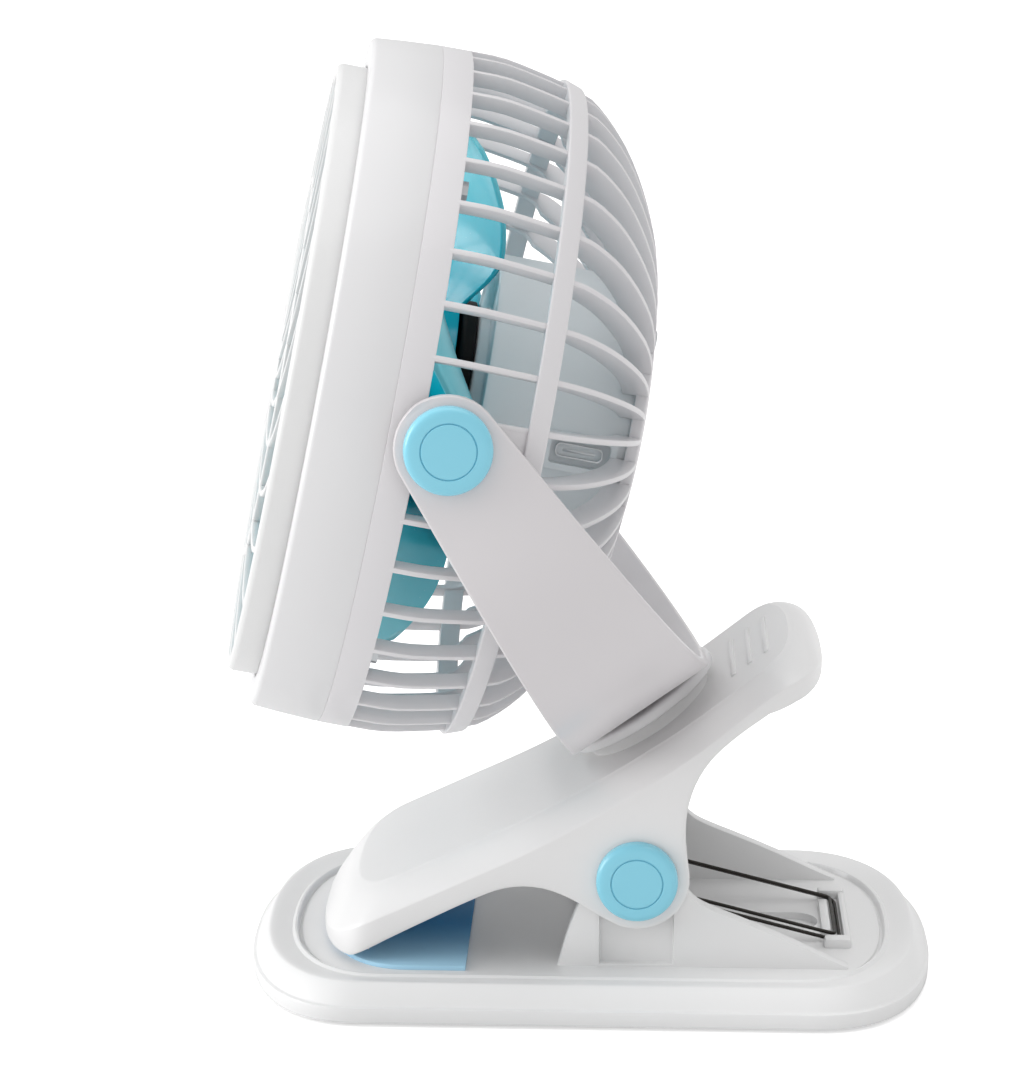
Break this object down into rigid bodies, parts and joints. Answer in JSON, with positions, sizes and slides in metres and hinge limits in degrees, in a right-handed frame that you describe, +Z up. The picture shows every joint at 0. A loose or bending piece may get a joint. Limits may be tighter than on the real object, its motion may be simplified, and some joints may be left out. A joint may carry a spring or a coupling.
{
  "type": "clip fan",
  "caption": "Small clip-on desk fan: ribbed round head tilting in a U-shaped yoke that swivels on a sprung clip with a flat oblong base.",
  "frame": {"origin": "bottom centre of the bounding box, on the table under the base", "axes": "+Z up, -Y the way the clip's jaw and the fan's front face, +X sideways, the side with the USB inlet"},
  "size_m": [0.1592, 0.1536, 0.2],
  "materials": {
    "white_shell": "glossy moulded ABS",
    "guard_white": "glossy moulded grille",
    "blue_trim": "glossy sky blue",
    "blade_blue": "slightly translucent cyan",
    "pad_blue": "soft grip pad",
    "foot_rubber": "matt",
    "black_trim": "matt moulded",
    "spring_steel": "dark spring wire",
    "steel": "plain steel",
    "zinc": "zinc plated",
    "cell_wrap": "shrink sleeve",
    "circuit_board": "board",
    "light_window": "clear window"
  },
  "bodies": {
    "base": {"base_shell": "white_shell", "base_bottom_cover": "white_shell", "foot_front_left": "foot_rubber", "foot_front_right": "foot_rubber", "foot_rear_left": "foot_rubber", "foot_rear_right": "foot_rubber", "base_screw_front_left": "zinc", "base_screw_front_right": "zinc", "base_screw_rear_left": "zinc", "base_screw_rear_right": "zinc", "lower_jaw_pad": "pad_blue", "clip_pin": "steel", "clip_spring": "spring_steel"},
    "lever": {"clip_lever": "white_shell", "upper_jaw_pad": "pad_blue", "clip_cap_left": "blue_trim", "clip_cap_right": "blue_trim", "swivel_bolt": "zinc", "swivel_nut": "zinc"},
    "yoke": {"yoke": "white_shell", "swivel_disc": "white_shell", "yoke_cap_left": "blue_trim", "yoke_cap_right": "blue_trim", "tilt_screw_left": "zinc", "tilt_screw_right": "zinc", "tilt_washer_left": "black_trim", "tilt_washer_right": "black_trim"},
    "head": {"front_ring": "white_shell", "rear_cage": "white_shell", "front_guard": "guard_white", "guard_badge": "white_shell", "motor_housing": "white_shell", "motor_mount": "black_trim", "motor_can": "steel", "battery_cell": "cell_wrap", "battery_door": "white_shell", "circuit_board": "circuit_board", "usb_socket": "zinc", "status_light": "light_window", "cage_screw_upper_right": "zinc", "cage_screw_upper_left": "zinc", "cage_screw_lower_left": "zinc", "cage_screw_lower_right": "zinc", "housing_screw_upper_left": "zinc", "housing_screw_upper_right": "zinc", "housing_screw_lower_left": "zinc", "housing_screw_lower_right": "zinc"},
    "rotor": {"impeller": "blade_blue", "motor_shaft": "steel", "hub_cap": "blade_blue"},
    "button": {"power_button": "blue_trim"}
  },
  "joints": [
    {"name": "clip_hinge", "type": "hinge", "parent": "base", "child": "lever", "pos_m": [0, 0.01304, 0.0283], "axis": [-1, 0, 0], "range_deg": [0, 28], "stiffness_Nm_per_rad": 0.8, "springref_deg": -45.84, "deforming": ["clip_spring"]},
    {"name": "swivel", "type": "hinge", "parent": "lever", "child": "yoke", "pos_m": [0, -0.03181, 0.12525], "axis": [0, -0.5592, 0.829], "continuous": true},
    {"name": "head_tilt", "type": "hinge", "parent": "yoke", "child": "head", "pos_m": [0, -0.03181, 0.12525], "axis": [0.9917, 0.1068, 0.072], "continuous": true},
    {"name": "blade_spin", "type": "hinge", "parent": "head", "child": "rotor", "pos_m": [0, -0.03181, 0.12525], "axis": [0.0908, -0.9761, 0.1975], "continuous": true},
    {"name": "power_press", "type": "slide", "parent": "head", "child": "button", "axis": [0.0908, -0.9761, 0.1975], "range_m": [0, 0.001], "stiffness_N_per_m": 600, "springref_m": -0.0006}
  ]
}
